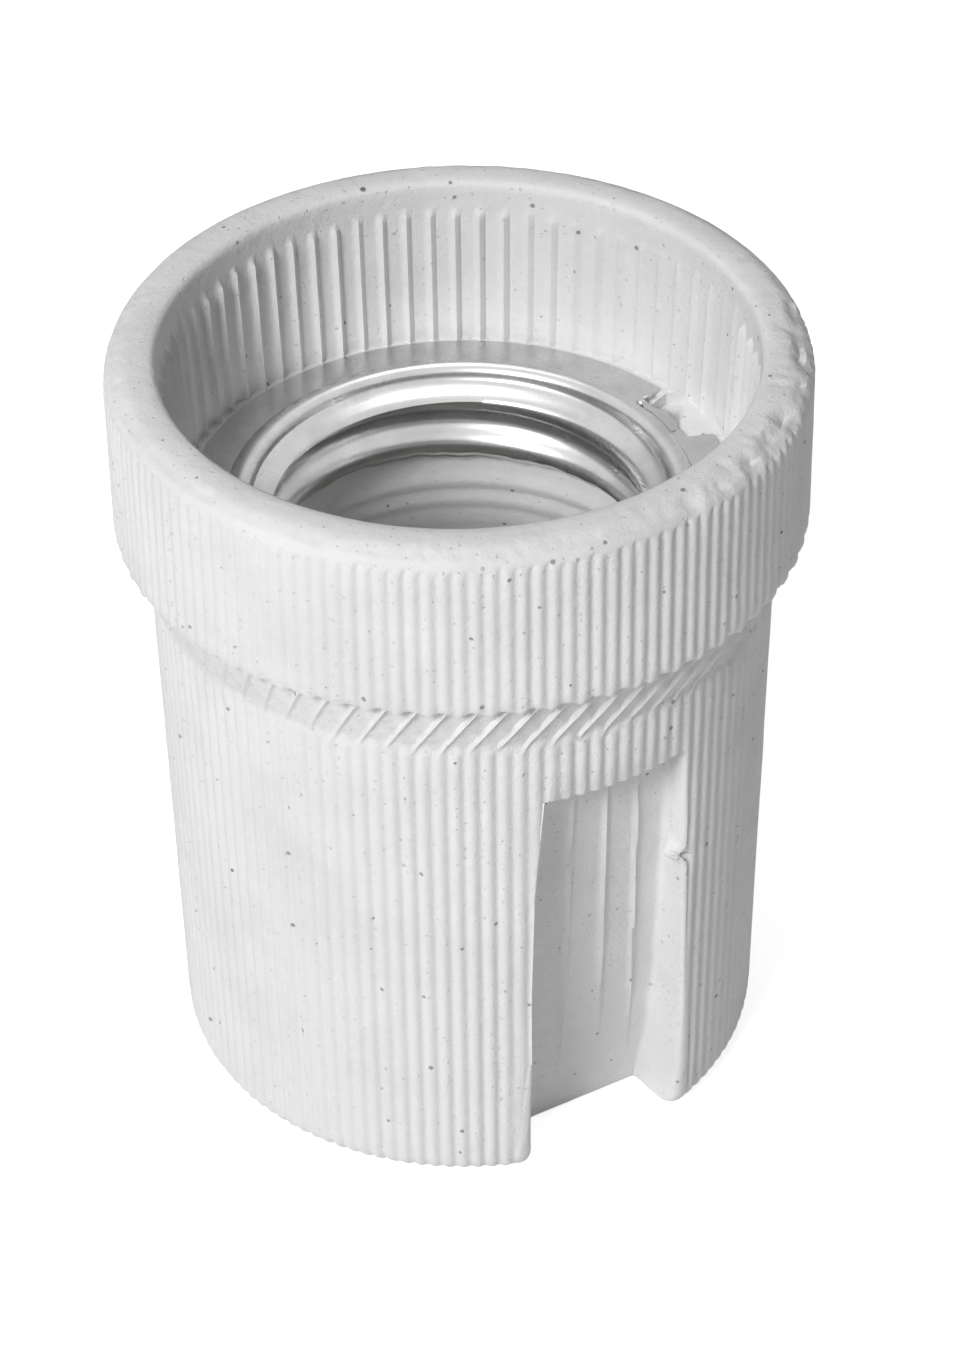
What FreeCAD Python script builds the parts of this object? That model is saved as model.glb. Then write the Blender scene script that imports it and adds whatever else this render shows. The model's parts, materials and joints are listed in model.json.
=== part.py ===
import FreeCAD, Part
import math
import os

# Porcelain lamp holder for an E27 screw cap. Millimetres, +Z up towards the lamp.
# Origin: centre of the base plane. The side recesses face -Y and +Y, the live terminal
# lies at -X and the neutral terminal at +X.

V = FreeCAD.Vector

# Porcelain body, outside
TOTAL_HEIGHT = 55.0
COLLAR_RADIUS = 23.0
COLLAR_HEIGHT = 11.85
BAND_HEIGHT = 4.8
BODY_TOP_RADIUS = 20.8
BODY_BOTTOM_RADIUS = 20.05
RIM_ROUND = 2.2
RIM_CHORDS = 3
RIM_MOUTH_RADIUS = 19.8
RIM_MOUTH_ROUND = 0.8
BASE_BEVEL_HEIGHT = 1.2
BASE_BEVEL_WIDTH = 0.9

# Reeding, lattice band and inner ribs
BODY_REED_COUNT = 125
BODY_GROOVE = 0.30
COLLAR_REED_COUNT = 147
COLLAR_GROOVE = 0.30
REED_SHOULDER = 0.24
REED_TOP_GAP = 0.9
LATTICE_CELLS = 72
LATTICE_ROW_COUNT = 3
LATTICE_DEPTH = 0.45
EDGE_LIP = 0.04
RIB_COUNT = 72
RIB_HEIGHT = 0.35
RIB_FOOT = 0.30
RIB_CROWN = 0.12
RIB_TOP_DEPTH = 2.6

# Inside of the porcelain
LEDGE_DEPTH = 12.4
LEDGE_RADIUS = 19.0
SHELL_BORE_RADIUS = 14.0
FLOOR_HEIGHT = 17.0
WEB_THICKNESS = 5.5
TAB_POCKET_ANGLE = 5.5
TAB_POCKET_WIDTH = 2.2
TAB_POCKET_LENGTH = 2.9
TAB_POCKET_DEPTH = 1.6
STRIP_GROOVE_INSET = 1.5

# Side recesses
RECESS_HEIGHT = 33.0
RECESS_FLOOR_BASE = 14.6
RECESS_FLOOR_TOP = 18.4
RECESS_HALF_BASE = 5.6
RECESS_HALF_TOP = 5.0
RECESS_FLARE = 5.0
RECESS_RIDGE_COUNT = 4
RECESS_RIDGE_PITCH = 2.65
RECESS_RIDGE_SIZE = 0.22

# Fixing holes through the floor
FIXING_SPACING = 19.2
FIXING_RADIUS = 2.1
FIXING_HEAD_RADIUS = 3.8
FIXING_SEAT_DEPTH = 1.7

# Screw shell, pressed sheet
SHEET = 0.35
FLANGE_NOTCH_RADIUS = 16.4
FLANGE_NOTCH_START = -20.0
FLANGE_NOTCH_END = 10.0
BEAD_OUTER_RADIUS = 15.6
BEAD_WIDTH = 1.7
BEAD_HEIGHT = 0.7
SHELL_END_RADIUS = 12.9
SHELL_END_DROP = 0.6
THREAD_MAJOR_RADIUS = 13.35
THREAD_MINOR_RADIUS = 12.25
THREAD_PITCH = 3.63
THREAD_FLAT = 0.5
THREAD_CRESTS = 2
THREAD_START_DROP = 1.9

# Centre contact
CUP_RADIUS = 5.4
CUP_HEIGHT = 4.6
CUP_WALL = 0.6
CUP_MOUTH_RADIUS = 3.75
BUTTON_HEAD_HEIGHT = 2.2
BUTTON_FLANGE = 0.6
BUTTON_DOME = 1.2
GUIDE_CLEARANCE = 0.10
SPRING_WIRE = 0.36
SPRING_TURNS = 2.5
SPRING_CHORDS = 14
CONTACT_RIVET_RADIUS = 1.4
CONTACT_RIVET_HEAD = 2.2

# Terminals
STRIP = 0.7
STRIP_WIDTH = 5.0
TERMINAL_THICKNESS = 1.6
TERMINAL_WIDTH = 7.2
TERMINAL_LENGTH = 9.4
TERMINAL_START = 5.6
TERMINAL_RIVET_X = 7.1
TERMINAL_RIVET_RADIUS = 1.0
TERMINAL_RIVET_HEAD = 1.5
TERMINAL_SCREW_X = 11.7
SCREW_RADIUS = 1.75
SCREW_LENGTH = 5.4
SCREW_HEAD_RADIUS = 2.6
SCREW_HEAD_HEIGHT = 2.2
SCREW_SLOT = 0.8
SCREW_SLOT_DEPTH = 1.1
WASHER_RADIUS = 2.8
WASHER_THICKNESS = 0.8
POCKET_WIDTH = 9.2
POCKET_START = 5.2
POCKET_END = 17.0
CENTRE_CHAMBER_RADIUS = 3.6

# Clearances
FIT_GAP = 0.05
SEAT_GAP = 0.10
HOLE_GAP = 0.10
SLOT_GAP = 0.25
RIVET_HEAD_HEIGHT = 0.6

# Heights that follow from the sizes above
collar_bottom = TOTAL_HEIGHT - COLLAR_HEIGHT
band_bottom = collar_bottom - BAND_HEIGHT
reed_top = TOTAL_HEIGHT - RIM_ROUND - REED_TOP_GAP
ledge_z = TOTAL_HEIGHT - LEDGE_DEPTH
flange_top = ledge_z + SHEET
flange_radius = LEDGE_RADIUS - RIB_HEIGHT - SEAT_GAP
web_bottom = FLOOR_HEIGHT - WEB_THICKNESS
strip_bottom = web_bottom - STRIP
terminal_bottom = strip_bottom - TERMINAL_THICKNESS
washer_bottom = terminal_bottom - WASHER_THICKNESS
neutral_strip_x = THREAD_MAJOR_RADIUS + SHEET + FIT_GAP
bead_top = flange_top + BEAD_HEIGHT
thread_top = bead_top - THREAD_START_DROP
thread_bottom = thread_top - (THREAD_CRESTS - 1) * THREAD_PITCH - THREAD_FLAT
shell_bottom = thread_bottom - SHELL_END_DROP
button_flange_top = FLOOR_HEIGHT + CUP_HEIGHT - CUP_WALL - GUIDE_CLEARANCE


def at(radius, degrees, z):
    angle = math.radians(degrees)
    return V(radius * math.cos(angle), radius * math.sin(angle), z)


def cylinder(radius, bottom, top, x=0.0, y=0.0):
    return Part.makeCylinder(radius, top - bottom, V(x, y, bottom))


def box(x0, x1, y0, y1, z0, z1):
    return Part.makeBox(x1 - x0, y1 - y0, z1 - z0, V(x0, y0, z0))


def revolve(points):
    """Turn a closed (radius, z) outline about the Z axis."""
    outline = [V(radius, 0, z) for radius, z in points]
    face = Part.Face(Part.makePolygon(outline + outline[:1]))
    return face.revolve(V(0, 0, 0), V(0, 0, 1), 360)


def polygon_face(points):
    return Part.Face(Part.makePolygon(points + points[:1]))


def facets_solid(faces):
    shell = Part.makeShell(faces)
    solid = Part.makeSolid(shell)
    if solid.Volume < 0:
        solid.reverse()
    return solid


def stacked_rings(rings, split_quads=False):
    """Solid skinned over rings of matching points, from the lowest to the highest."""
    faces = [polygon_face(rings[0]), polygon_face(rings[-1])]
    count = len(rings[0])
    for row, (low, high) in enumerate(zip(rings[:-1], rings[1:])):
        for i in range(count):
            j = (i + 1) % count
            if not split_quads:
                faces.append(polygon_face([low[i], low[j], high[j], high[i]]))
            elif (i + row) % 2 == 0:
                faces.append(polygon_face([low[i], low[j], high[j]]))
                faces.append(polygon_face([low[i], high[j], high[i]]))
            else:
                faces.append(polygon_face([low[i], low[j], high[i]]))
                faces.append(polygon_face([low[j], high[j], high[i]]))
    return facets_solid(faces)


def reeded_ring(radius, z, count, groove, full_radius):
    """One section of a reeded wall: a narrow groove, then a flat-topped reed."""
    scale = radius / full_radius
    pitch = 360.0 / count
    points = []
    for i in range(count):
        start = i * pitch
        points.append(at(scale * (full_radius - groove), start, z))
        points.append(at(scale * full_radius, start + REED_SHOULDER * pitch, z))
        points.append(at(scale * full_radius, start + (1 - REED_SHOULDER) * pitch, z))
    return points


def reeded_body():
    rings = []
    levels = [
        (BODY_BOTTOM_RADIUS - BASE_BEVEL_WIDTH, 0.0),
        (BODY_BOTTOM_RADIUS, BASE_BEVEL_HEIGHT),
        (BODY_TOP_RADIUS, band_bottom),
    ]
    for radius, z in levels:
        rings.append(reeded_ring(radius, z, BODY_REED_COUNT, BODY_GROOVE, BODY_TOP_RADIUS))
    return stacked_rings(rings)


def lattice_band():
    """Cone under the collar covered by crossing ridges with diamond hollows between."""
    top_radius = COLLAR_RADIUS - COLLAR_GROOVE - 2 * EDGE_LIP
    bottom_radius = BODY_TOP_RADIUS + EDGE_LIP + LATTICE_DEPTH
    step = 180.0 / LATTICE_CELLS
    rings = []
    for row in range(LATTICE_ROW_COUNT + 1):
        share = row / LATTICE_ROW_COUNT
        radius = bottom_radius + (top_radius - bottom_radius) * share
        z = band_bottom + BAND_HEIGHT * share
        ring = []
        for i in range(2 * LATTICE_CELLS):
            hollow = LATTICE_DEPTH if (i + row) % 2 else 0.0
            ring.append(at(radius - hollow, i * step, z))
        rings.append(ring)
    return stacked_rings(rings, split_quads=True)


def reeded_collar():
    radius = COLLAR_RADIUS - EDGE_LIP
    return stacked_rings([
        reeded_ring(radius, z, COLLAR_REED_COUNT, COLLAR_GROOVE, radius)
        for z in (collar_bottom, reed_top)])


def rim():
    """Plain rim above the reeding, its outer edge rounded."""
    centre = COLLAR_RADIUS - RIM_ROUND
    outline = [(0, reed_top), (COLLAR_RADIUS, reed_top)]
    for i in range(RIM_CHORDS + 1):
        angle = math.radians(90.0 * i / RIM_CHORDS)
        outline.append((centre + RIM_ROUND * math.cos(angle),
                        TOTAL_HEIGHT - RIM_ROUND + RIM_ROUND * math.sin(angle)))
    outline.append((0, TOTAL_HEIGHT))
    return revolve(outline)


def collar_cavity():
    """Ribbed inside of the collar, a plain flared mouth above it and the ledge below."""
    taper = (RIM_MOUTH_RADIUS - LEDGE_RADIUS) / LEDGE_DEPTH
    rib_top = TOTAL_HEIGHT - RIB_TOP_DEPTH
    top_radius = RIM_MOUTH_RADIUS - taper * RIB_TOP_DEPTH
    pitch = 360.0 / RIB_COUNT
    rings = []
    for radius, z in ((LEDGE_RADIUS, ledge_z), (top_radius, rib_top)):
        ring = []
        for i in range(RIB_COUNT):
            middle = i * pitch
            scale = radius / LEDGE_RADIUS
            crown = scale * (LEDGE_RADIUS - RIB_HEIGHT)
            ring.append(at(radius, middle - RIB_FOOT * pitch / 2, z))
            ring.append(at(crown, middle - RIB_CROWN * pitch / 2, z))
            ring.append(at(crown, middle + RIB_CROWN * pitch / 2, z))
            ring.append(at(radius, middle + RIB_FOOT * pitch / 2, z))
        rings.append(ring)
    ribbed = stacked_rings(rings)
    mouth = revolve([
        (0, rib_top), (top_radius + EDGE_LIP, rib_top),
        (RIM_MOUTH_RADIUS, TOTAL_HEIGHT - RIM_MOUTH_ROUND),
        (RIM_MOUTH_RADIUS + RIM_MOUTH_ROUND, TOTAL_HEIGHT), (0, TOTAL_HEIGHT)])
    return [ribbed, mouth]


def side_recess(turn):
    """Wedge-shaped recess, deepest and widest at the base, with flared cheeks."""
    outer = COLLAR_RADIUS
    flare = math.tan(math.radians(RECESS_FLARE))

    def section(z, floor, half):
        wide = half + (outer - floor) * flare
        return [V(-half, -floor, z), V(half, -floor, z), V(wide, -outer, z), V(-wide, -outer, z)]

    low = section(0.0, RECESS_FLOOR_BASE, RECESS_HALF_BASE)
    high = section(RECESS_HEIGHT, RECESS_FLOOR_TOP, RECESS_HALF_TOP)
    tool = stacked_rings([low, high])
    tool.rotate(V(0, 0, 0), V(0, 0, 1), turn)
    return tool


def recess_ridges(turn):
    """Fine upright ridges on the recess floor."""
    size = RECESS_RIDGE_SIZE
    ridges = []
    for i in range(RECESS_RIDGE_COUNT):
        x = (i - (RECESS_RIDGE_COUNT - 1) / 2) * RECESS_RIDGE_PITCH
        ring_set = []
        for z, floor in ((0.0, RECESS_FLOOR_BASE), (RECESS_HEIGHT, RECESS_FLOOR_TOP)):
            ring_set.append([
                V(x - size, -floor + size, z), V(x + size, -floor + size, z), V(x, -floor - size, z)])
        ridge = stacked_rings(ring_set)
        ridge.rotate(V(0, 0, 0), V(0, 0, 1), turn)
        ridges.append(ridge)
    return ridges


def terminal_pocket(side, inner_end):
    """Pocket in the base for one terminal, open downwards, with a round outer end."""
    half = POCKET_WIDTH / 2
    pocket = box(inner_end, POCKET_END - half, -half, half, 0, web_bottom)
    pocket = pocket.fuse(cylinder(half, 0, web_bottom, POCKET_END - half))
    relief = cylinder(SCREW_RADIUS + SLOT_GAP, web_bottom,
                      washer_bottom + SCREW_LENGTH + WASHER_THICKNESS, TERMINAL_SCREW_X)
    pin = cylinder(TERMINAL_RIVET_RADIUS + HOLE_GAP, web_bottom, FLOOR_HEIGHT, TERMINAL_RIVET_X)
    sink = cylinder(TERMINAL_RIVET_HEAD + SLOT_GAP, FLOOR_HEIGHT - RIVET_HEAD_HEIGHT - SEAT_GAP,
                    FLOOR_HEIGHT, TERMINAL_RIVET_X)
    tools = [pocket, relief, pin, sink]
    if side < 0:
        for tool in tools:
            tool.rotate(V(0, 0, 0), V(0, 0, 1), 180)
    return tools


def fixing_hole(side):
    y = side * FIXING_SPACING / 2
    hole = cylinder(FIXING_RADIUS, 0, FLOOR_HEIGHT, 0, y)
    seat = cylinder(FIXING_HEAD_RADIUS, FLOOR_HEIGHT - FIXING_SEAT_DEPTH, FLOOR_HEIGHT, 0, y)
    return [hole, seat]


def strip_groove():
    """Groove down the bore wall and slot through the web for the neutral strip."""
    half = STRIP_WIDTH / 2 + SLOT_GAP
    outer = neutral_strip_x + STRIP + SLOT_GAP
    groove = box(SHELL_BORE_RADIUS - STRIP_GROOVE_INSET, outer, -half, half, FLOOR_HEIGHT, ledge_z)
    slot = box(neutral_strip_x - SLOT_GAP, outer, -half, half, web_bottom, FLOOR_HEIGHT)
    return [groove, slot]


def tab_pockets():
    """Pockets in the ledge that take the shell's bent locking tabs."""
    half = TAB_POCKET_WIDTH / 2
    pockets = []
    for turn in (TAB_POCKET_ANGLE, TAB_POCKET_ANGLE + 180):
        pocket = box(LEDGE_RADIUS - RIB_HEIGHT - TAB_POCKET_LENGTH, LEDGE_RADIUS - RIB_HEIGHT,
                     -half, half, ledge_z - TAB_POCKET_DEPTH, ledge_z)
        pocket.rotate(V(0, 0, 0), V(0, 0, 1), turn)
        pockets.append(pocket)
    return pockets


def porcelain_body():
    body = reeded_body()
    body = body.cut([side_recess(0), side_recess(180)])
    body = body.fuse(recess_ridges(0) + recess_ridges(180))
    blank = body.fuse([lattice_band(), reeded_collar(), rim()])
    tools = collar_cavity()
    tools.append(cylinder(SHELL_BORE_RADIUS, FLOOR_HEIGHT, ledge_z))
    tools += terminal_pocket(1, POCKET_START) + terminal_pocket(-1, 0.0)
    tools.append(cylinder(CENTRE_CHAMBER_RADIUS, 0, web_bottom))
    tools.append(cylinder(CONTACT_RIVET_RADIUS + HOLE_GAP, web_bottom, FLOOR_HEIGHT))
    tools += fixing_hole(1) + fixing_hole(-1) + strip_groove() + tab_pockets()
    return blank.cut(tools)


def shell_profile():
    """Inner line of the shell from the flange over the bead and down the rolled thread."""
    root_rise = (THREAD_PITCH - THREAD_FLAT) / 2
    bead_inner = BEAD_OUTER_RADIUS - BEAD_WIDTH
    line = [
        (flange_radius, flange_top),
        (BEAD_OUTER_RADIUS, flange_top),
        (BEAD_OUTER_RADIUS - BEAD_WIDTH / 2, bead_top),
        (bead_inner, flange_top)]
    z = thread_top
    for crest in range(THREAD_CRESTS):
        if crest > 0:
            line.append((THREAD_MAJOR_RADIUS, z + root_rise))
        line.append((THREAD_MINOR_RADIUS, z))
        line.append((THREAD_MINOR_RADIUS, z - THREAD_FLAT))
        z -= THREAD_PITCH
    line.append((SHELL_END_RADIUS, shell_bottom))
    return line


def offset_line(line, distance):
    """The same line moved sideways by one sheet thickness."""
    normals = []
    for (r0, z0), (r1, z1) in zip(line[:-1], line[1:]):
        length = math.hypot(r1 - r0, z1 - z0)
        normals.append((-(z1 - z0) / length, (r1 - r0) / length))
    points = []
    for i, (r, z) in enumerate(line):
        before = normals[max(i - 1, 0)]
        after = normals[min(i, len(normals) - 1)]
        scale = distance / (1 + before[0] * after[0] + before[1] * after[1])
        points.append((r + (before[0] + after[0]) * scale, z + (before[1] + after[1]) * scale))
    return points


def locking_tab(turn):
    """Tongue bent down from the flange into its pocket in the ledge."""
    half = TAB_POCKET_WIDTH / 2 - SLOT_GAP
    root = FLANGE_NOTCH_RADIUS - FIT_GAP
    reach = TAB_POCKET_LENGTH / 2
    tab = box(root - SHEET, root + reach, -half, half, ledge_z, flange_top)
    leg = box(root + reach - SHEET, root + reach, -half, half,
              ledge_z - TAB_POCKET_DEPTH + SLOT_GAP, flange_top)
    tab = tab.fuse(leg)
    tab.rotate(V(0, 0, 0), V(0, 0, 1), turn)
    return tab


def flange_notch(turn):
    """Sector missing from the flange outside its narrow inner lip."""
    start = FLANGE_NOTCH_START + turn
    sweep = FLANGE_NOTCH_END - FLANGE_NOTCH_START
    low, high = ledge_z - SHEET, flange_top + SHEET
    section = polygon_face([
        V(FLANGE_NOTCH_RADIUS, 0, low), V(flange_radius + SHEET, 0, low),
        V(flange_radius + SHEET, 0, high), V(FLANGE_NOTCH_RADIUS, 0, high)])
    tool = section.revolve(V(0, 0, 0), V(0, 0, 1), sweep)
    tool.rotate(V(0, 0, 0), V(0, 0, 1), start)
    return tool


def screw_shell():
    inner = shell_profile()
    outer = offset_line(inner, SHEET)
    shell = revolve(inner + outer[::-1])
    shell = shell.cut([flange_notch(0), flange_notch(180)])
    return shell.fuse([locking_tab(TAB_POCKET_ANGLE), locking_tab(TAB_POCKET_ANGLE + 180)])


def contact_cup():
    bottom = FLOOR_HEIGHT
    cup = cylinder(CUP_RADIUS, bottom, bottom + CUP_HEIGHT)
    inside = cylinder(CUP_RADIUS - CUP_WALL, bottom + CUP_WALL, bottom + CUP_HEIGHT - CUP_WALL)
    mouth = cylinder(CUP_MOUTH_RADIUS, bottom + CUP_WALL, bottom + CUP_HEIGHT)
    hole = cylinder(CONTACT_RIVET_RADIUS + FIT_GAP, bottom, bottom + CUP_WALL)
    return cup.cut([inside, mouth, hole])


def contact_button():
    """Domed contact with a flange that the cup's lip holds in."""
    head = CUP_MOUTH_RADIUS - GUIDE_CLEARANCE
    flange = CUP_RADIUS - CUP_WALL - GUIDE_CLEARANCE
    base = button_flange_top - BUTTON_FLANGE
    tip = button_flange_top + BUTTON_HEAD_HEIGHT
    return revolve([
        (0, base), (flange, base), (flange, button_flange_top), (head, button_flange_top),
        (head, tip - BUTTON_DOME), (head - BUTTON_DOME, tip), (0, tip)])


def contact_spring():
    """Square-wire helix in straight chords, each ring of points one cut across the wire."""
    half = SPRING_WIRE / 2
    low = FLOOR_HEIGHT + CUP_WALL + SEAT_GAP + half
    high = button_flange_top - BUTTON_FLANGE - SEAT_GAP - half
    radius = (CUP_RADIUS - CUP_WALL + CONTACT_RIVET_HEAD) / 2
    chords = round(SPRING_TURNS * SPRING_CHORDS)
    rings = []
    for i in range(chords + 1):
        z = low + (high - low) * i / chords
        angle = 360.0 * i / SPRING_CHORDS
        rings.append([at(radius - half, angle, z - half), at(radius + half, angle, z - half),
                      at(radius + half, angle, z + half), at(radius - half, angle, z + half)])
    return stacked_rings(rings, split_quads=True)


def rivet(x, radius, head, bottom, top):
    """Shank between two flat heads that lie outside bottom and top."""
    shank = cylinder(radius, bottom - RIVET_HEAD_HEIGHT, top + RIVET_HEAD_HEIGHT, x)
    lower = cylinder(head, bottom - RIVET_HEAD_HEIGHT, bottom, x)
    upper = cylinder(head, top, top + RIVET_HEAD_HEIGHT, x)
    return shank.fuse([lower, upper])


def contact_rivet():
    return rivet(0, CONTACT_RIVET_RADIUS, CONTACT_RIVET_HEAD, strip_bottom, FLOOR_HEIGHT + CUP_WALL)


def terminal_rivet(side):
    top = FLOOR_HEIGHT - RIVET_HEAD_HEIGHT - SEAT_GAP
    return rivet(side * TERMINAL_RIVET_X, TERMINAL_RIVET_RADIUS, TERMINAL_RIVET_HEAD,
                 terminal_bottom, top)


def terminal_holes(side, bottom, top):
    """Clearance for the rivet and the clamp screw through a strip or plate."""
    return [
        cylinder(TERMINAL_RIVET_RADIUS + FIT_GAP, bottom, top, side * TERMINAL_RIVET_X),
        cylinder(SCREW_RADIUS + FIT_GAP, bottom, top, side * TERMINAL_SCREW_X)]


def live_link():
    half = STRIP_WIDTH / 2
    inner = CONTACT_RIVET_HEAD + SLOT_GAP
    strip = box(-(TERMINAL_START + TERMINAL_LENGTH), inner, -half, half, strip_bottom, web_bottom)
    centre = cylinder(CONTACT_RIVET_RADIUS + FIT_GAP, strip_bottom, web_bottom)
    return strip.cut([centre] + terminal_holes(-1, strip_bottom, web_bottom))


def neutral_link():
    """Strip from the shell's side down the bore and inward under the web."""
    half = STRIP_WIDTH / 2
    outer = neutral_strip_x + STRIP
    leg = box(neutral_strip_x, outer, -half, half, strip_bottom, shell_bottom + THREAD_PITCH)
    foot = box(TERMINAL_START, outer, -half, half, strip_bottom, web_bottom)
    return leg.fuse(foot).cut(terminal_holes(1, strip_bottom, web_bottom)).removeSplitter()


def terminal(side):
    half = TERMINAL_WIDTH / 2
    ends = sorted((side * TERMINAL_START, side * (TERMINAL_START + TERMINAL_LENGTH)))
    plate = box(ends[0], ends[1], -half, half, terminal_bottom, strip_bottom)
    return plate.cut(terminal_holes(side, terminal_bottom, strip_bottom))


def clamp_washer(side):
    x = side * TERMINAL_SCREW_X
    disc = cylinder(WASHER_RADIUS, washer_bottom, terminal_bottom, x)
    return disc.cut(cylinder(SCREW_RADIUS + FIT_GAP, washer_bottom, terminal_bottom, x))


def terminal_screw(side):
    x = side * TERMINAL_SCREW_X
    head_bottom = washer_bottom - SCREW_HEAD_HEIGHT
    head = cylinder(SCREW_HEAD_RADIUS, head_bottom, washer_bottom, x)
    shank = cylinder(SCREW_RADIUS, washer_bottom, washer_bottom + SCREW_LENGTH, x)
    screw = head.fuse(shank)
    half = SCREW_SLOT / 2
    slot = box(x - SCREW_HEAD_RADIUS, x + SCREW_HEAD_RADIUS, -half, half,
               head_bottom, head_bottom + SCREW_SLOT_DEPTH)
    return screw.cut(slot)


def save(name, shape):
    solids = shape.Solids
    result = solids[0] if len(solids) == 1 else Part.makeCompound(solids)
    result.exportStep("parts/" + name + ".step")
    print(name, len(solids), round(result.Volume, 2), result.isValid())


def main():
    os.makedirs("parts", exist_ok=True)
    save("porcelain_body", porcelain_body())
    save("screw_shell", screw_shell())
    save("contact_cup", contact_cup())
    save("contact_button", contact_button())
    save("contact_spring", contact_spring())
    save("contact_rivet", contact_rivet())
    save("live_link", live_link())
    save("neutral_link", neutral_link())
    for name, side in (("live", -1), ("neutral", 1)):
        save(name + "_terminal", terminal(side))
        save(name + "_terminal_rivet", terminal_rivet(side))
        save(name + "_clamp_washer", clamp_washer(side))
        save(name + "_terminal_screw", terminal_screw(side))


main()
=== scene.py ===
import json
import math

import bmesh
import bpy
import numpy as np
from mathutils import Matrix, Vector, noise

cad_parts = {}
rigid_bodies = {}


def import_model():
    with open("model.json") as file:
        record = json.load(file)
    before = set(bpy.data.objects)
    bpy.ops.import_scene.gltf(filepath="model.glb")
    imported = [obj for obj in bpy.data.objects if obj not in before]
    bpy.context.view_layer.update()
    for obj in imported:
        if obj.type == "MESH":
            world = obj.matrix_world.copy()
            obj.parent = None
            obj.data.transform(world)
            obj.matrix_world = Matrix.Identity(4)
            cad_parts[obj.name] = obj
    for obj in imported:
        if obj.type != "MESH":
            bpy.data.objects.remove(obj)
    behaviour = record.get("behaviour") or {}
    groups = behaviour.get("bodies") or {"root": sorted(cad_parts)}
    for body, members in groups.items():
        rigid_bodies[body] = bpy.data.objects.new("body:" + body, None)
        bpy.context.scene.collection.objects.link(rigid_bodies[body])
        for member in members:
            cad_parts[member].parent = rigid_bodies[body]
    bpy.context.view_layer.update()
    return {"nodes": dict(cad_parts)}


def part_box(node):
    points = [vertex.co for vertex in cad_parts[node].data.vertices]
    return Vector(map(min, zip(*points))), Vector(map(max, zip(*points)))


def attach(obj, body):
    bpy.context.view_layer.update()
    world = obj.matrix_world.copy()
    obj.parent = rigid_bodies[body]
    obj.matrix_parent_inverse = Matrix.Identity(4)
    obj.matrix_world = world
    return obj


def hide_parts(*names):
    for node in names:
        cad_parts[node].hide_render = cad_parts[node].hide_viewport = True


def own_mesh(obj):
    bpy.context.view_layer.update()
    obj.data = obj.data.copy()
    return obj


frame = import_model()
print("frame loaded:", len(frame["nodes"]), "nodes")

mm = 0.001
lowest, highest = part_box("porcelain_body")
height = (highest.z - lowest.z) / mm
collarRadius = (highest.x - lowest.x) / 2 / mm


class Wire:
    # a shader socket that Python's own operators work on
    def __init__(self, tree, socket=None):
        self.tree, self.socket = tree, socket

    def node(self, kind, settings=None, inputs=None, output=0):
        made = self.tree.nodes.new(kind)
        for key, value in (settings or {}).items():
            setattr(made, key, value)
        for key, value in (inputs or {}).items():
            if isinstance(value, Wire):
                self.tree.links.new(value.socket, made.inputs[key])
            else:
                made.inputs[key].default_value = value
        return Wire(self.tree, made.outputs[output] if len(made.outputs) else None)

    def maths(self, operation, first, second=0.0, clamp=False):
        return self.node("ShaderNodeMath", {"operation": operation, "use_clamp": clamp}, {0: first, 1: second})

    def __add__(self, other):
        return self.maths("ADD", self, other)

    def __radd__(self, other):
        return self.maths("ADD", other, self)

    def __sub__(self, other):
        return self.maths("SUBTRACT", self, other)

    def __rsub__(self, other):
        return self.maths("SUBTRACT", other, self)

    def __mul__(self, other):
        return self.maths("MULTIPLY", self, other)

    def __rmul__(self, other):
        return self.maths("MULTIPLY", other, self)

    def __truediv__(self, other):
        return self.maths("DIVIDE", self, other)

    def __rtruediv__(self, other):
        return self.maths("DIVIDE", other, self)

    def span(self, low, high, toLow=0.0, toHigh=1.0):
        return self.node("ShaderNodeMapRange", {"interpolation_type": "SMOOTHSTEP"}, {
            "Value": self, "From Min": low, "From Max": high, "To Min": toLow, "To Max": toHigh})

    def blend(self, first, second):
        # the second colour laid over the first where this value is high
        return self.node("ShaderNodeMix", {"data_type": "RGBA"}, {0: self, 6: first, 7: second}, 2)


def grey(tone):
    return (tone, tone, tone, 1.0)


def newMaterial(name):
    material = bpy.data.materials.new(name)
    material.use_nodes = True
    tree = material.node_tree
    tree.nodes.clear()
    return material, Wire(tree)


def places(root, scale=1000.0):
    # object coordinates, in millimetres at the usual scale
    spot = root.node("ShaderNodeTexCoord", output=3)
    return root.node("ShaderNodeVectorMath", {"operation": "MULTIPLY"}, {0: spot, 1: (scale, scale, scale)})


def axesOf(root, spot):
    return [root.node("ShaderNodeSeparateXYZ", {}, {0: spot}, axis) for axis in range(3)]


def cloud(root, spot, scale, detail=2.0, rough=0.5):
    return root.node("ShaderNodeTexNoise", {}, {
        "Vector": spot, "Scale": scale, "Detail": detail, "Roughness": rough})


def finishMaterial(root, sockets):
    surface = root.node("ShaderNodeBsdfPrincipled", {}, sockets)
    root.node("ShaderNodeOutputMaterial", {}, {"Surface": surface})


# unglazed porcelain; each speck layer is its density, the dots' size and how rare they are
glaze = dict(
    body=grey(0.815), stain=grey(0.68), speck=grey(0.10), crack=grey(0.16),
    smallSpecks=(0.50, 0.20, 0.25), bigSpecks=(0.21, 0.36, 0.62), faintSpecks=(0.9, 0.16, 0.72),
    pores=(1.9, 0.11, 0.55), grain=4.5, bumpHeight=0.00011, chip=(5.35, -19.75, 23.85))


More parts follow.
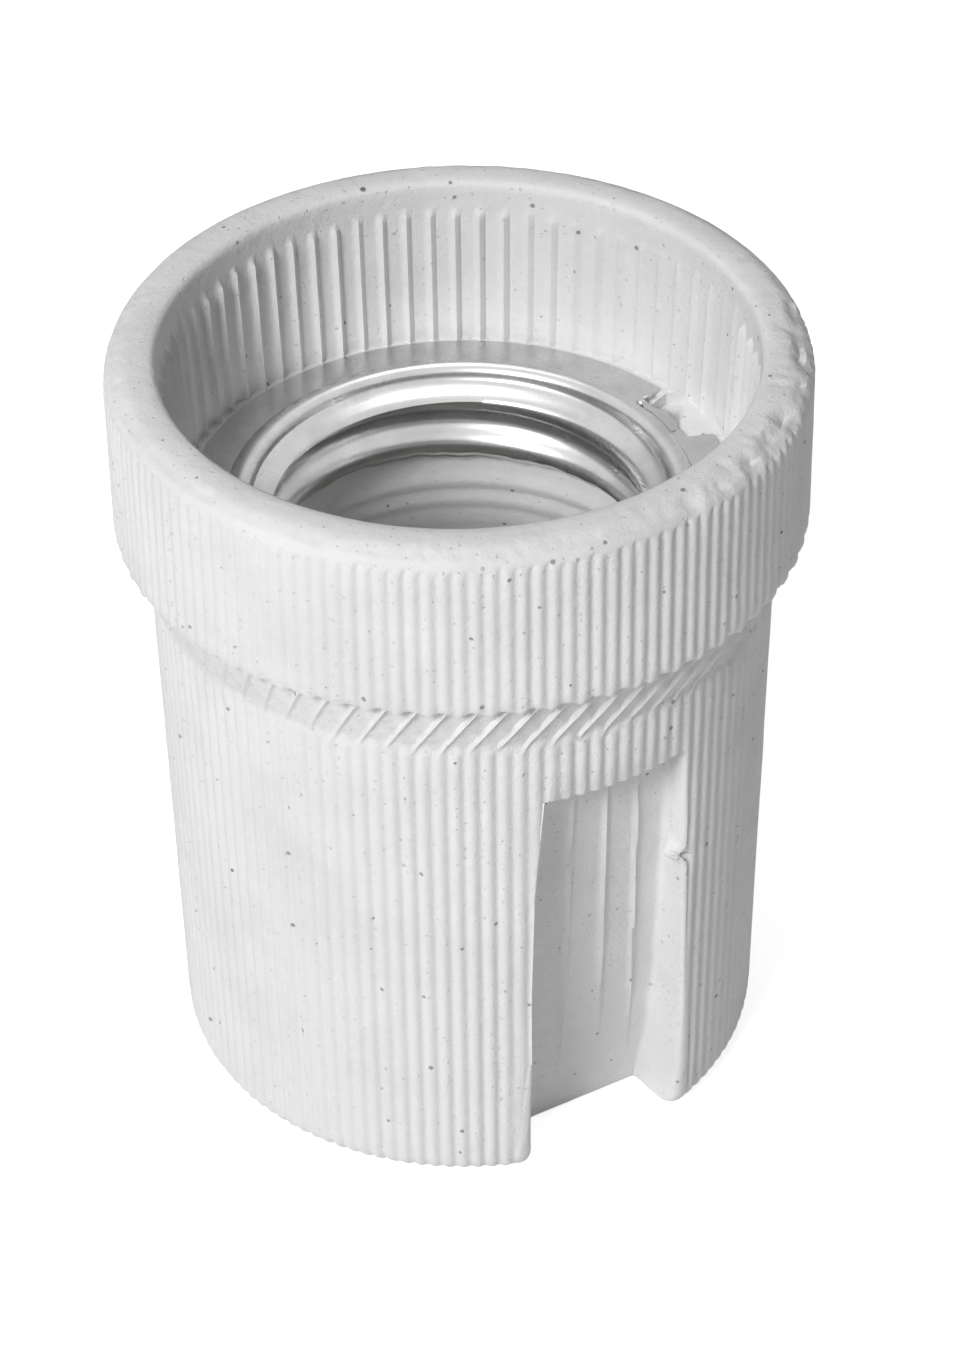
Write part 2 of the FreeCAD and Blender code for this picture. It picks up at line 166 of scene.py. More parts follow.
def speckLayer(root, spot, density, size, rare):
    # one dot in some of the cells, each with a size of its own
    cells = {"feature": "F1"}
    inputs = {"Vector": spot, "Scale": density, "Randomness": 1.0}
    distance = root.node("ShaderNodeTexVoronoi", cells, inputs, 0)
    own = root.node("ShaderNodeTexVoronoi", cells, inputs, 1)
    luck = root.node("ShaderNodeSeparateColor", {}, {0: own}, 0)
    chosen = luck.span(rare, rare + 0.02)
    reach = (luck.span(rare, 1.0) * 0.6 + 0.5) * size * density
    edge = cloud(root, spot, 9.0, 1.0) * 0.5 + 0.75
    return (1.0 - (distance * edge / reach).span(0.55, 1.0)) * chosen


def makePorcelain():
    material, root = newMaterial("porcelain")
    spot = places(root)
    small = speckLayer(root, spot, *glaze["smallSpecks"])
    big = speckLayer(root, spot, *glaze["bigSpecks"])
    faint = speckLayer(root, spot, *glaze["faintSpecks"]) * 0.4
    flecks = small.maths("MAXIMUM", small * 0.75, big)
    flecks = flecks.maths("MAXIMUM", flecks, faint)
    patches = cloud(root, spot, 0.16, 3.0, 0.55).span(0.35, 0.75)
    fine = cloud(root, spot, 1.6, 3.0, 0.6)
    colour = (patches * 0.40 + fine * 0.45 - 0.16).blend(glaze["body"], glaze["stain"])
    colour = (flecks * 0.9).blend(colour, glaze["speck"])
    # star of cracks on the chipped edge of the front recess
    away = root.node("ShaderNodeVectorMath", {"operation": "SUBTRACT"}, {0: spot, 1: glaze["chip"]})
    parts = axesOf(root, away)
    far = root.node("ShaderNodeVectorMath", {"operation": "LENGTH"}, {0: away}, 1)
    spin = parts[2].maths("ARCTAN2", parts[2], parts[0] + parts[1] * 0.6)
    wobble = cloud(root, spot, 1.7, 2.0) * 1.6
    phase = spin * 2.5 + wobble
    rays = phase.maths("SINE", phase)
    thin = 1.0 - rays.maths("ABSOLUTE", rays).span(0.05, 0.30)
    cracked = thin * (1.0 - far.span(0.55, 1.15)) + (1.0 - far.span(0.08, 0.22)) * 0.6
    colour = (cracked.maths("MINIMUM", cracked, 1.0) * 0.75).blend(colour, glaze["crack"])
    grain = cloud(root, spot, glaze["grain"], 3.0, 0.65)
    pores = speckLayer(root, spot, *glaze["pores"])
    relief = grain * 0.55 + cloud(root, spot, 1.3, 2.0) * 0.9 - pores * 0.8 - flecks * 0.5
    bump = root.node("ShaderNodeBump", {}, {
        "Height": relief, "Distance": glaze["bumpHeight"], "Strength": 0.75})
    finishMaterial(root, {
        "Base Color": colour, "Roughness": 0.62 + grain * 0.2, "Normal": bump, "IOR": 1.45})
    return material


# each metal: clean and dull tone, roughness and how far it spreads, turning lines, bump height in metres
metals = dict(
    shell=dict(tone=grey(0.64), dull=grey(0.34), rough=0.24, spread=0.14, lines=6.0, bump=0.000004),
    brass=dict(tone=(0.60, 0.57, 0.50, 1), dull=(0.36, 0.34, 0.29, 1), rough=0.28, spread=0.25, lines=3.0,
               bump=0.000012),
    spring=dict(tone=grey(0.50), dull=grey(0.30), rough=0.25, spread=0.2, lines=5.0, bump=0.000008),
    plated=dict(tone=grey(0.62), dull=grey(0.40), rough=0.24, spread=0.22, lines=4.0, bump=0.000010))


def makeMetal(name, look):
    material, root = newMaterial(name)
    spot = places(root)
    parts = axesOf(root, spot)
    radius = parts[0].maths("SQRT", parts[0] * parts[0] + parts[1] * parts[1])
    level = parts[2] * look["lines"] + radius * look["lines"]
    turned = root.node("ShaderNodeCombineXYZ", {}, {0: level, 1: parts[0] * 0.05, 2: parts[1] * 0.05})
    lines = cloud(root, turned, 1.0, 2.0)
    smudge = cloud(root, spot, 0.35, 3.0, 0.6)
    spots = cloud(root, spot, 2.6, 2.0, 0.6).span(0.60, 0.78)
    colour = (smudge.span(0.35, 0.8) * 0.4 + spots * 0.25).blend(look["tone"], look["dull"])
    rough = look["rough"] + look["spread"] * (smudge * 0.6 + spots * 0.4)
    bump = root.node("ShaderNodeBump", {}, {
        "Height": lines + cloud(root, spot, 1.1, 2.0) * 1.5, "Distance": look["bump"], "Strength": 0.8})
    finishMaterial(root, {"Base Color": colour, "Roughness": rough, "Normal": bump, "Metallic": 1.0})
    return material


porcelainFinish = makePorcelain()
finishes = {name: makeMetal(name, look) for name, look in metals.items()}
print("materials made")


def smooth(value):
    value = np.clip(value, 0.0, 1.0)
    return value * value * (3 - 2 * value)


def circlePoints(radius, angle, z):
    # angle in degrees from -Y towards +X
    turn = np.radians(angle)
    return np.stack([radius * np.sin(turn), -radius * np.cos(turn), z + 0 * turn], axis=1)


def roughness(points, scale, seed):
    shift = Vector((seed * 7.3, seed * 3.1, seed * 1.7))
    return np.array([noise.noise(Vector(p) * scale + shift) for p in points])


class Skin:
    # rings of points in millimetres, joined one to the next and stitched where their counts differ
    def __init__(self):
        self.points, self.faces = [], []
        self.count, self.last, self.lastAngles = 0, None, None

    def add(self, points, angles=None):
        index = np.arange(self.count, self.count + len(points))
        self.points.append(points)
        self.count += len(points)
        if self.last is not None:
            if len(index) == len(self.last):
                self.band(self.last, index)
            else:
                self.stitch(self.last, self.lastAngles, index, angles)
        self.last, self.lastAngles = index, angles
        return index

    def band(self, low, high):
        for a, b, c, d in zip(low, np.roll(low, -1), np.roll(high, -1), high):
            self.faces.append((a, b, c, d))

    def stitch(self, low, lowAngles, high, highAngles):
        i, j = 0, 0
        lowNext = np.append(lowAngles[1:], lowAngles[0] + 360)
        highNext = np.append(highAngles[1:], highAngles[0] + 360)
        while i < len(low) or j < len(high):
            a, b = low[i % len(low)], high[j % len(high)]
            if j >= len(high) or (i < len(low) and lowNext[i] <= highNext[j]):
                self.faces.append((a, low[(i + 1) % len(low)], b))
                i += 1
            else:
                self.faces.append((a, high[(j + 1) % len(high)], b))
                j += 1

    def cap(self, centre):
        # fan from the last ring to one point
        self.points.append(np.array([centre]))
        tip = self.count
        self.count += 1
        for a, b in zip(self.last, np.roll(self.last, -1)):
            self.faces.append((a, b, tip))

    def mesh(self, name, weld=0.0005, wander=0.0, outside=14.5):
        mesh = bpy.data.meshes.new(name)
        spots = np.concatenate(self.points)
        if wander:
            # hand-finished unevenness, always inwards
            far = np.hypot(spots[:, 0], spots[:, 1])
            inward = wander * (0.5 + roughness(spots, 0.35, 11) * 0.6 + roughness(spots, 1.1, 4) * 0.4)
            spots[:, :2] *= (1 - np.clip(inward, 0, 1) * (far > outside) / np.maximum(far, 1))[:, None]
        spots = spots * mm
        mesh.from_pydata(spots.tolist(), [], [tuple(int(k) for k in face) for face in self.faces])
        tidyMesh(mesh, weld)
        return mesh


def tidyMesh(mesh, weld, sharp=40.0):
    # welds points nearer than weld millimetres and keeps edges over sharp degrees crisp
    work = bmesh.new()
    work.from_mesh(mesh)
    if weld:
        bmesh.ops.remove_doubles(work, verts=work.verts, dist=weld * mm)
    bmesh.ops.recalc_face_normals(work, faces=work.faces)
    work.to_mesh(mesh)
    work.free()
    mesh.shade_smooth()
    mesh.set_sharp_from_angle(angle=math.radians(sharp))


def addPiece(name, mesh, material, body, nodes=()):
    piece = bpy.data.objects.new(name, mesh)
    bpy.context.collection.objects.link(piece)
    mesh.materials.clear()
    mesh.materials.append(material)
    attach(piece, body)
    if nodes:
        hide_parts(*nodes)
    return piece


# lengths in millimetres, angles in degrees from -Y towards +X, drops measured from the rim
shape = dict(
    collarHeight=11.85, bandHeight=4.8, bodyTop=20.8, bodyBottom=20.05, rimRound=1.8, mouth=19.6,
    baseRoundHeight=1.6, baseRoundWidth=1.15, ledgeDepth=12.4, ledgeRadius=19.0, bore=14.0, floor=17.0,
    bodyReeds=125, bodyPhase=-29.48, bodyDepth=0.185, collarReeds=147, collarPhase=-28.42, collarDepth=0.175,
    reedEnd=25.0, ribs=72, ribPhase=1.0, ribHeight=0.42, ribTop=1.9,
    lattice=73, lean=7.9, latticeLow=37.45, latticeDepth=0.50, latticePhase=0.49, lip=0.80, wander=0.05,
    latticeRows=17, latticeColumns=14, reedColumns=7, ribColumns=9, rimColumns=588, boreColumns=256, padTurn=86)
# plain is the cheek with a smooth strip beside it, sharp the one that the reeds run up to;
# corner and foot are its outer and inner edges at each level, edge its rounding at each of roundLevels
recess = dict(
    top=33.0, floorBase=14.6, floorTop=18.4, reedStart=((0, 5, 11, 23, 33), (20.2, 19.8, 17.3, 15.9, 15.6)),
    plain=dict(levels=(0, 0.5, 1.2, 5, 11, 23, 33), corner=(5.3, 5.35, 5.45, 5.8, 5.8, 5.45, 5.15),
               foot=(4.95, 5.0, 5.1, 5.6, 5.65, 5.25, 4.8),
               edge=(1.1, 0.9, 0.42), fillet=0.4),
    sharp=dict(levels=(0, 0.5, 1.2, 5.7, 15.9, 24.9, 33), corner=(5.6, 5.6, 5.65, 5.95, 6.04, 5.91, 5.36),
               foot=(5.6, 5.6, 5.65, 5.8, 5.7, 5.55, 5.05), edge=(1.6, 1.0, 0.14), fillet=0.3),
    strip=25.0, ridges=(-2.25, 0.33, 2.76), ridgeShift=(0.75, 1.12, 1.19), ridgeEnds=(4.2, 8.6, 6.0),
    ridgeHeight=0.26, ridgeWidth=0.17, roundLevels=(0.0, 2.5, 9.0), fadeTurn=0.9,
    chip=(5.35, -19.75, 23.8), chipReach=1.5, chipPush=(-0.22, 0.34, 0.0),
    lump=(5.35, -18.7, 23.7), lumpSize=(1.0, 1.2, 1.1), lumpHeight=0.95,
    floorColumns=27, filletColumns=5, cheekColumns=10, edgeColumns=5, stripColumns=28, wallColumns=384)
collarBottom = height - shape["collarHeight"]
bandBottom = collarBottom - shape["bandHeight"]
chips = np.random.default_rng(7)
reedLuck = {"body": chips.uniform(0.72, 1.12, shape["bodyReeds"] + 1),
            "collar": chips.uniform(0.72, 1.12, shape["collarReeds"] + 1),
            "rib": chips.uniform(0.65, 1.1, shape["ribs"] + 1)}


def reedValley(angle, kind, phase, sharpness=1.35):
    # 1 in the valley between two reeds, 0 on their crowns
    count = len(reedLuck[kind]) - 1
    turn = (angle - phase) * count / 360.0
    nearest = np.round(turn).astype(int) % count
    dip = (0.5 + 0.5 * np.cos(2 * np.pi * turn)) ** sharpness
    return dip * reedLuck[kind][nearest]


def bodyRadius(z):
    share = z / bandBottom
    radius = shape["bodyBottom"] + (shape["bodyTop"] - shape["bodyBottom"]) * share
    lack = np.clip(1 - z / shape["baseRoundHeight"], 0, 1)
    return radius - shape["baseRoundWidth"] * (1 - np.sqrt(1 - lack ** 2))


def curve(a, b, c, count):
    # rounded corner b between a and c, the last point left out
    t = np.arange(count)[:, None] / count
    return (1 - t) ** 2 * a + 2 * t * (1 - t) * b + t ** 2 * c


def line(a, b, count):
    t = np.arange(count)[:, None] / count
    return a + (b - a) * t


def recessQuarter(z, plain):
    # half of the recess in plan, (sideways, outward), from its centre line to the outer wall
    share = min(z / recess["top"], 1.0)
    floor = recess["floorBase"] + (recess["floorTop"] - recess["floorBase"]) * share
    look = recess["plain" if plain else "sharp"]
    side = float(np.interp(z, look["levels"], look["corner"]))
    half = float(np.interp(z, look["levels"], look["foot"]))
    radius = bodyRadius(z) - 0.03
    edge = float(np.interp(z, recess["roundLevels"], look["edge"]))
    corner = np.array([side, math.sqrt(radius ** 2 - side ** 2)])
    foot = np.array([half, floor])
    along = (corner - foot) / np.linalg.norm(corner - foot)
    turn = math.atan2(corner[0], corner[1]) + edge / radius
    outer = np.array([radius * math.sin(turn), radius * math.cos(turn)])
    inward = np.array([look["fillet"], 0.0])
    points = np.concatenate([
        line(np.array([0.0, floor]), foot - inward, recess["floorColumns"]),
        curve(foot - inward, foot, foot + along * look["fillet"], recess["filletColumns"]),
        line(foot + along * look["fillet"], corner - along * edge, recess["cheekColumns"]),
        curve(corner - along * edge, corner, outer, recess["edgeColumns"])])
    return points, math.degrees(turn)


def bodyRing(z, isOpen):
    # one level of the body, from the front recess's centre line round, open or closed
    quarters = [recessQuarter(min(z, recess["top"]), plain) for plain in (True, False, True, False)]
    inner = len(quarters[0][0])
    angles, plan = [], []

    def outside(turns):
        radius = bodyRadius(z) - shape["bodyDepth"] * reedValley(turns, "body", shape["bodyPhase"])
        return circlePoints(radius, turns, z)

    def wallTurns(near, far):
        # far is measured back from the next recess
        step = (recess["strip"] - near) / recess["stripColumns"]
        nearStrip = near + step * np.arange(recess["stripColumns"])
        step = (recess["strip"] - far) / recess["stripColumns"]
        farStrip = 180 - far - step * np.arange(recess["stripColumns"])
        wall = np.linspace(recess["strip"], 180 - recess["strip"], recess["wallColumns"])
        return np.concatenate([nearStrip, wall, farStrip[::-1]])

    flat = [np.arange(inner) / inner * turn for points, turn in quarters]
    mirrored = {0: (1, -1), 2: (1, 1), 3: (-1, 1), 5: (-1, -1)}
    sweeps = [flat[0], wallTurns(quarters[0][1], quarters[1][1]), 180 - flat[1][::-1], 180 + flat[2][1:],
              180 + wallTurns(quarters[2][1], quarters[3][1]), 360 - flat[3][:0:-1]]
    own = {0: quarters[0][0], 2: quarters[1][0][::-1], 3: quarters[2][0][1:], 5: quarters[3][0][:0:-1]}
    for number, turns in enumerate(sweeps):
        if number in own and isOpen:
            sideways, outward = mirrored[number]
            flatPoints = own[number]
            spot = np.stack([flatPoints[:, 0] * sideways, flatPoints[:, 1] * outward,
                             np.full(len(flatPoints), z)], axis=1)
        else:
            spot = outside(turns)
        if number in (1, 4) and isOpen:
            # the moulding's smooth strip beside each recess's plain edge
            plain = circlePoints(np.full(len(turns), bodyRadius(z) - 0.03), turns, z)
            start = np.interp(z, *recess["reedStart"])
            fade = smooth((turns % 180 - start + recess["fadeTurn"]) / recess["fadeTurn"])[:, None]
            spot = plain + (spot - plain) * fade
        angles.append(turns)
        plan.append(spot)
    ring = np.concatenate(plan)
    if isOpen:
        # thin raised lines down the floor of each recess, leaning as they go down
        side = np.sign(ring[:, 1])
        along = -side * ring[:, 0]
        floor = recess["floorBase"] + (recess["floorTop"] - recess["floorBase"]) * min(z / recess["top"], 1.0)
        depth = np.abs(ring[:, 1]) - floor
        onFloor = (np.abs(depth) < 0.02) & (np.abs(along) < 5.0)
        lift = np.zeros(len(ring))
        for place, end in zip(recess["ridges"], recess["ridgeEnds"]):
            worn = 0.75 * (place < 0) * (24.5 < z < 26.5)      # one line is rubbed away for a little
            size = recess["ridgeHeight"] * smooth((z - end) / 2.0) * (1.0 - worn)
            lift += size * np.exp(-((along - place) / recess["ridgeWidth"]) ** 2)
        knots = (-5.0,) + recess["ridges"] + (5.0,)
        shift = np.interp(along, knots, (0.0,) + recess["ridgeShift"] + (0.0,)) * (29.5 - z) / 22.0
        ring[:, 1] += side * lift * onFloor
        ring[:, 0] += -side * shift * onFloor
    return ring, np.concatenate(angles)


def breakEdge(points):
    # old chip with a star of cracks on the right edge of the front recess
    offset = points - np.array(recess["chip"])
    far = np.linalg.norm(offset, axis=1)
    near = smooth(1 - far / recess["chipReach"])
    spin = np.arctan2(offset[:, 2], offset[:, 0] + offset[:, 1] * 0.5)
    rays = (0.6 + 0.4 * np.cos(3 * spin + 0.6))[:, None]
    points = points + near[:, None] * np.array(recess["chipPush"]) * rays
    lump = smooth(1 - np.linalg.norm((points - np.array(recess["lump"])) / recess["lumpSize"], axis=1))
    points[:, 0] -= recess["lumpHeight"] * lump
    return points


def latticeRadius(angle, z, share):
    # thin ridges leaning one way and weak ones the other, over a cone
    pitch = 360.0 / shape["lattice"]

    def ridge(turn, before, after):
        away = ((turn / pitch + 0.5) % 1.0 - 0.5) * pitch
        return smooth(1 - (np.abs(away) - 0.14) / np.where(away < 0, before, after))

    first = ridge(angle - shape["latticePhase"] - shape["lean"] * share, 0.55, 0.45)
    second = ridge(angle - shape["latticePhase"] + shape["lean"] * share - 0.8, 1.1, 1.1)
    base = bodyRadius(z)
    if z > bandBottom:
        base += (collarRadius - 0.55 - shape["bodyTop"]) * ((z - bandBottom) / shape["bandHeight"]) ** 0.94
    relief = np.maximum(first, 0.55 * second) - 1.0
    front = (angle + 180) % 360 - 180
    shallow = 0.5 * smooth((-front - 35) / 35) * smooth((front + 150) / 40)       # worn mould on one side
    depth = shape["latticeDepth"] * (1 - shallow)
    lattice = base + 0.12 * share + depth * relief * (0.35 + 0.65 * share)
    reeds = base - shape["bodyDepth"] * reedValley(angle, "body", shape["bodyPhase"])
    ragged = 0.04 * np.sin(np.radians(angle * 23)) + 0.03 * np.sin(np.radians(angle * 61 + 30))
    start = smooth((share - ragged) / 0.18)
    return reeds + (lattice - reeds) * start


def outerSkin(skin):
    levels = [0.0, 0.06, 0.22, 0.48, 0.8, 1.2, 1.6, 4.5, 10.0, 16.0, 21.0]
    levels += list(np.arange(22.5, 25.1, 0.27)) + [27.0, 30.0, 32.2]
    for z in levels:
        points, angles = bodyRing(z, True)
        if 21.9 < z < 25.8:
            points = breakEdge(points)
        skin.add(points, angles)
    points, angles = bodyRing(recess["top"], True)
    skin.add(points, angles)
    for z, inset in ((recess["top"], 0.18), (recess["top"] + 0.22, 0.0)):
        ring, angles = bodyRing(z, False)
        middle = np.minimum(np.abs(angles), np.abs(angles - 180))
        middle = np.minimum(middle, np.abs(angles - 360))
        pull = 1 - inset / bodyRadius(z) * (middle < 14.2)
        ring[:, :2] *= pull[:, None]
        skin.add(ring, angles)
    for z in (35.6, shape["latticeLow"]):
        ring, angles = bodyRing(z, False)
        skin.add(ring, angles)
    # the columns lean with the ridges, so each ridge keeps its own columns
    columns = shape["lattice"] * shape["latticeColumns"]
    start = np.arange(columns) * 360.0 / columns + shape["latticePhase"]
    for share in np.linspace(0.02, 1.0, shape["latticeRows"]):
        z = shape["latticeLow"] + (collarBottom - 0.06 - shape["latticeLow"]) * share
        angles = start + shape["lean"] * share
        index = skin.add(circlePoints(latticeRadius(angles, z, share), angles, z), angles)
    past = int(np.sum(angles >= 360))
    skin.last, skin.lastAngles = np.roll(index, past), np.sort(angles % 360)
    collarWall(skin)


def wornRound(angles, lean):
    # radius of the rim's rounding, with the moulding's edge broken away in a flat on one side
    front = (angles + 180) % 360 - 180
    worn = smooth((front - 2) / 14) * smooth((84 - front) / 18)
    worn *= smooth(0.55 + 0.5 * np.sin(front * 0.21 + 1.0) + 0.35 * np.sin(front * 0.83))
    chord = math.cos(math.radians(32)) / math.cos(math.radians(min(max(lean, 15), 79) - 47))
    return shape["rimRound"] * (1 - worn * max(1 - chord, 0) * 1.25)


def collarWall(skin):
    columns = shape["collarReeds"] * shape["reedColumns"]
    angles = np.arange(columns) * 360.0 / columns
    valley = reedValley(angles, "collar", shape["collarPhase"], 1.2)
    turn = (angles - shape["collarPhase"] - 0.6) * shape["collarReeds"] / 720.0
    arch = np.abs(np.sin(np.pi * turn)) ** 0.8
    for level in (0.0, 0.06, 0.3, 0.75, 1.5, 3.6, 6.2, 8.2):
        lift = (0.42 * arch - shape["lip"]) * smooth(1 - level / 1.3)
        under = 0.16 * smooth(1 - level / 0.2)
        radius = collarRadius - under - shape["collarDepth"] * valley * (0.6 + 0.4 * smooth(level / 0.8))
        skin.add(circlePoints(radius, angles, collarBottom + level + lift), angles)
    # the flutes run out over the rounded shoulder in slanted points
    ends = shape["reedEnd"] + 3.0 * np.sin(angles * 0.9) + 2.5 * np.sin(angles * 2.3 + 1.0)
    slant = reedValley(angles - 0.35, "collar", shape["collarPhase"], 0.8)
    for lean in (0, 9, 16, 21, 25, 29, 33, 37, 42):
        out = math.radians(lean)
        deep = smooth((ends - lean - 9 * (1 - slant)) / 9)
        radius = wornRound(angles, lean) - shape["collarDepth"] * valley * deep
        centre = collarRadius - shape["rimRound"]
        points = circlePoints(centre + radius * math.cos(out), angles, height - shape["rimRound"])
        points[:, 2] += radius * math.sin(out)
        skin.add(points, angles)


def rimAndMouth(skin):
    columns = shape["rimColumns"]
    angles = np.arange(columns) * 360.0 / columns
    rough = 0.35 + 0.65 * smooth(1 - np.abs(((angles - 45) + 180) % 360 - 180) / 60)
    centre = collarRadius - shape["rimRound"]
    outline = []
    for lean in (47, 58, 69, 80, 90):
        turn, rounding = math.radians(lean), wornRound(angles, lean)
        level = height - shape["rimRound"] + rounding * math.sin(turn)
        outline.append((centre + rounding * math.cos(turn), level))
    outline += [(20.6, height), (20.05, height - 0.05), (19.78, height - 0.2), (19.64, height - 0.45),
                (shape["mouth"], height - 0.8)]
    for radius, z in outline:
        points = circlePoints(radius + 0 * angles, angles, z)
        outer = smooth((radius - 20.0) / 1.5) * smooth((z - (height - 2.6)) / 0.8)
        bite = np.maximum(roughness(points, 0.45, 3) * 0.9, 0)
        bite = bite + np.maximum(roughness(points, 1.3, 5) * 0.8, 0)
        inward = 0.05 + 0.55 * bite * rough * outer
        points[:, :2] *= (1 - inward / radius)[:, None]
        points[:, 2] -= 0.35 * inward * (z > height - 1.5) + 0.02 * (z > height - 0.1)
        skin.add(points, angles)


def innerWall(skin):
    columns = shape["ribs"] * shape["ribColumns"]
    angles = np.arange(columns) * 360.0 / columns
    pitch = 360.0 / shape["ribs"]
    away = np.abs(((angles - shape["ribPhase"]) / pitch + 0.5) % 1.0 - 0.5) * pitch
    nearest = np.round((angles - shape["ribPhase"]) / pitch).astype(int) % shape["ribs"]
    rib = smooth(1 - (away - 0.12) / 0.85) * reedLuck["rib"][nearest]
    rib *= 1 - 0.8 * smooth(1 - np.abs(angles - shape["padTurn"]) / 11)        # plain pad beside the tab
    # shallow ribs on one side of the mouth, deeper ones across from it
    rib *= 1 - 0.55 * smooth(1 - np.abs(angles - 112) / 38) + 0.5 * smooth(1 - np.abs(angles - 255) / 40)
    ledgeZ = height - shape["ledgeDepth"]
    taper = (shape["mouth"] - shape["ledgeRadius"]) / shape["ledgeDepth"]
    start = height - shape["ribTop"] + 0.6 - 0.8 * reedLuck["rib"][nearest]
    for drop in (1.3, 1.6, 1.85, 2.1, 2.35, 2.6, 2.9, 3.6, 6.0, 9.0, 11.6, shape["ledgeDepth"]):
        z = height - drop
        radius = shape["mouth"] - taper * drop
        radius = radius - shape["ribHeight"] * rib * smooth((start - z) / 0.55)
        skin.add(circlePoints(radius, angles, z), angles)
    return ledgeZ


def boreAndFloor(skin, ledgeZ):
    columns = shape["boreColumns"]
    angles = np.arange(columns) * 360.0 / columns
    floor, bore = shape["floor"], shape["bore"]
    outline = [(18.4, ledgeZ), (16.8, ledgeZ), (14.35, ledgeZ),
               (bore + 0.1, ledgeZ - 0.12), (bore, ledgeZ - 0.4), (bore, 38.0), (bore, 35.2)]
    # faint rings that the moulding pin left in the bore
    for z, depth in ((34.7, 0.05), (34.3, 0.28), (33.9, 0.30), (33.5, 0.06), (33.1, 0.0), (32.7, 0.22),
                     (32.3, 0.26), (31.9, 0.04), (31.4, 0.0), (30.9, 0.16), (30.4, 0.0)):
        outline.append((bore - depth, z))
    outline += [(bore, 26.0), (bore, floor + 0.5), (bore - 0.15, floor + 0.12), (bore - 0.5, floor),
                (9.0, floor), (4.0, floor)]
    for radius, z in outline:
        skin.add(circlePoints(np.full(columns, radius), angles, z), angles)
    skin.cap((0, 0, floor))


def cylinderCutter(radius, low, high, x=0.0, y=0.0, sides=48):
    skin = Skin()
    angles = np.arange(sides) * 360.0 / sides
    for z in (low, high):
        points = circlePoints(np.full(sides, radius), angles, z)
        points[:, 0] += x
        points[:, 1] += y
        if z == low:
            skin.add(points, angles)
            skin.faces.append(tuple(skin.last[::-1]))
        else:
            skin.faces.append(tuple(skin.add(points, angles)))
    return skin.mesh("cutter", 0.0)


def prismCutter(corners, low, high):
    skin = Skin()
    for z in (low, high):
        index = skin.add(np.array([(x, y, z) for x, y in corners]))
        skin.faces.append(tuple(index[::-1] if z == low else index))
    return skin.mesh("cutter", 0.0)


def boxCutter(x0, x1, y0, y1, z0, z1):
    return prismCutter([(x0, y0), (x1, y0), (x1, y1), (x0, y1)], z0, z1)


# pockets, holes and slots, by radius or half width and place
underside = dict(
    web=11.5, pocketHalf=4.6, pocketEnd=12.4, neutralStart=5.2, chamber=3.6, rivet=1.5, relief=2.0,
    reliefTop=14.6, screwX=11.7, pinX=7.1, pin=1.1, sink=1.75, sinkDeep=0.7, hole=2.1, seat=3.8,
    seatDepth=1.7, fixingY=9.6, stripHalf=2.75, stripIn=13.5,
    stripOut=14.7, stripStart=12.5,
    tabPocket=((16.1, 2.7), (15.9, 0.4), (16.5, -0.3), (17.5, 0.45), (19.25, 2.85), (18.1, 3.5)), tabDeep=0.9)


def cutters():
    u = underside
    floor, ledgeZ = shape["floor"], height - shape["ledgeDepth"]
    below, above = -1.0, 0.4
    yield cylinderCutter(u["chamber"], below, u["web"])
    yield cylinderCutter(u["rivet"], u["web"] - 0.5, floor + above)
    for side in (-1, 1):
        inner = 0.0 if side < 0 else u["neutralStart"]
        ends = sorted((side * inner, side * u["pocketEnd"]))
        yield boxCutter(ends[0], ends[1], -u["pocketHalf"], u["pocketHalf"], below, u["web"])
        yield cylinderCutter(u["pocketHalf"], below, u["web"], side * u["pocketEnd"])
        yield cylinderCutter(u["relief"], u["web"] - 0.5, u["reliefTop"], side * u["screwX"])
        yield cylinderCutter(u["pin"], u["web"] - 0.5, floor + above, side * u["pinX"])
        yield cylinderCutter(u["sink"], floor - u["sinkDeep"], floor + above, side * u["pinX"])
        yield cylinderCutter(u["hole"], below, floor + above, 0, side * u["fixingY"])
        yield cylinderCutter(u["seat"], floor - u["seatDepth"], floor + above, 0, side * u["fixingY"])
    yield boxCutter(u["stripStart"], u["stripOut"], -u["stripHalf"], u["stripHalf"], floor, ledgeZ + above)
    yield boxCutter(u["stripIn"], u["stripOut"], -u["stripHalf"], u["stripHalf"], u["web"] - 0.5, floor + 0.1)
    for turn in (1, -1):
        corners = [(x * turn, y * turn) for x, y in u["tabPocket"]]
        yield prismCutter(corners, ledgeZ - u["tabDeep"], ledgeZ + above)


def cutAway(piece, tools):
    # every tool mesh taken out of the piece, for good
    for number, tool in enumerate(tools):
        cutter = bpy.data.objects.new("cutter" + str(number), tool)
        bpy.context.collection.objects.link(cutter)
        step = piece.modifiers.new("cut", "BOOLEAN")
        step.operation, step.solver, step.object = "DIFFERENCE", "MANIFOLD", cutter
    bpy.context.view_layer.update()
    cut = bpy.data.meshes.new_from_object(piece.evaluated_get(bpy.context.evaluated_depsgraph_get()))
    piece.modifiers.clear()
    old = piece.data
    piece.data = cut
    bpy.data.meshes.remove(old)
    for thing in [o for o in bpy.data.objects if o.name.startswith("cutter")]:
        bpy.data.objects.remove(thing)
    tidyMesh(cut, 0.0)


def makeBody():
    skin = Skin()
    outerSkin(skin)
    rimAndMouth(skin)
    boreAndFloor(skin, innerWall(skin))
    skin.faces.append(tuple(range(len(bodyRing(0.0, True)[1])))[::-1])         # the flat base
    mesh = skin.mesh("porcelain_moulding", wander=shape["wander"])
    piece = addPiece("porcelain_moulding", mesh, porcelainFinish, "holder", ["porcelain_body"])
    cutAway(piece, list(cutters()))
    print("porcelain:", len(piece.data.polygons), "faces")


makeBody()


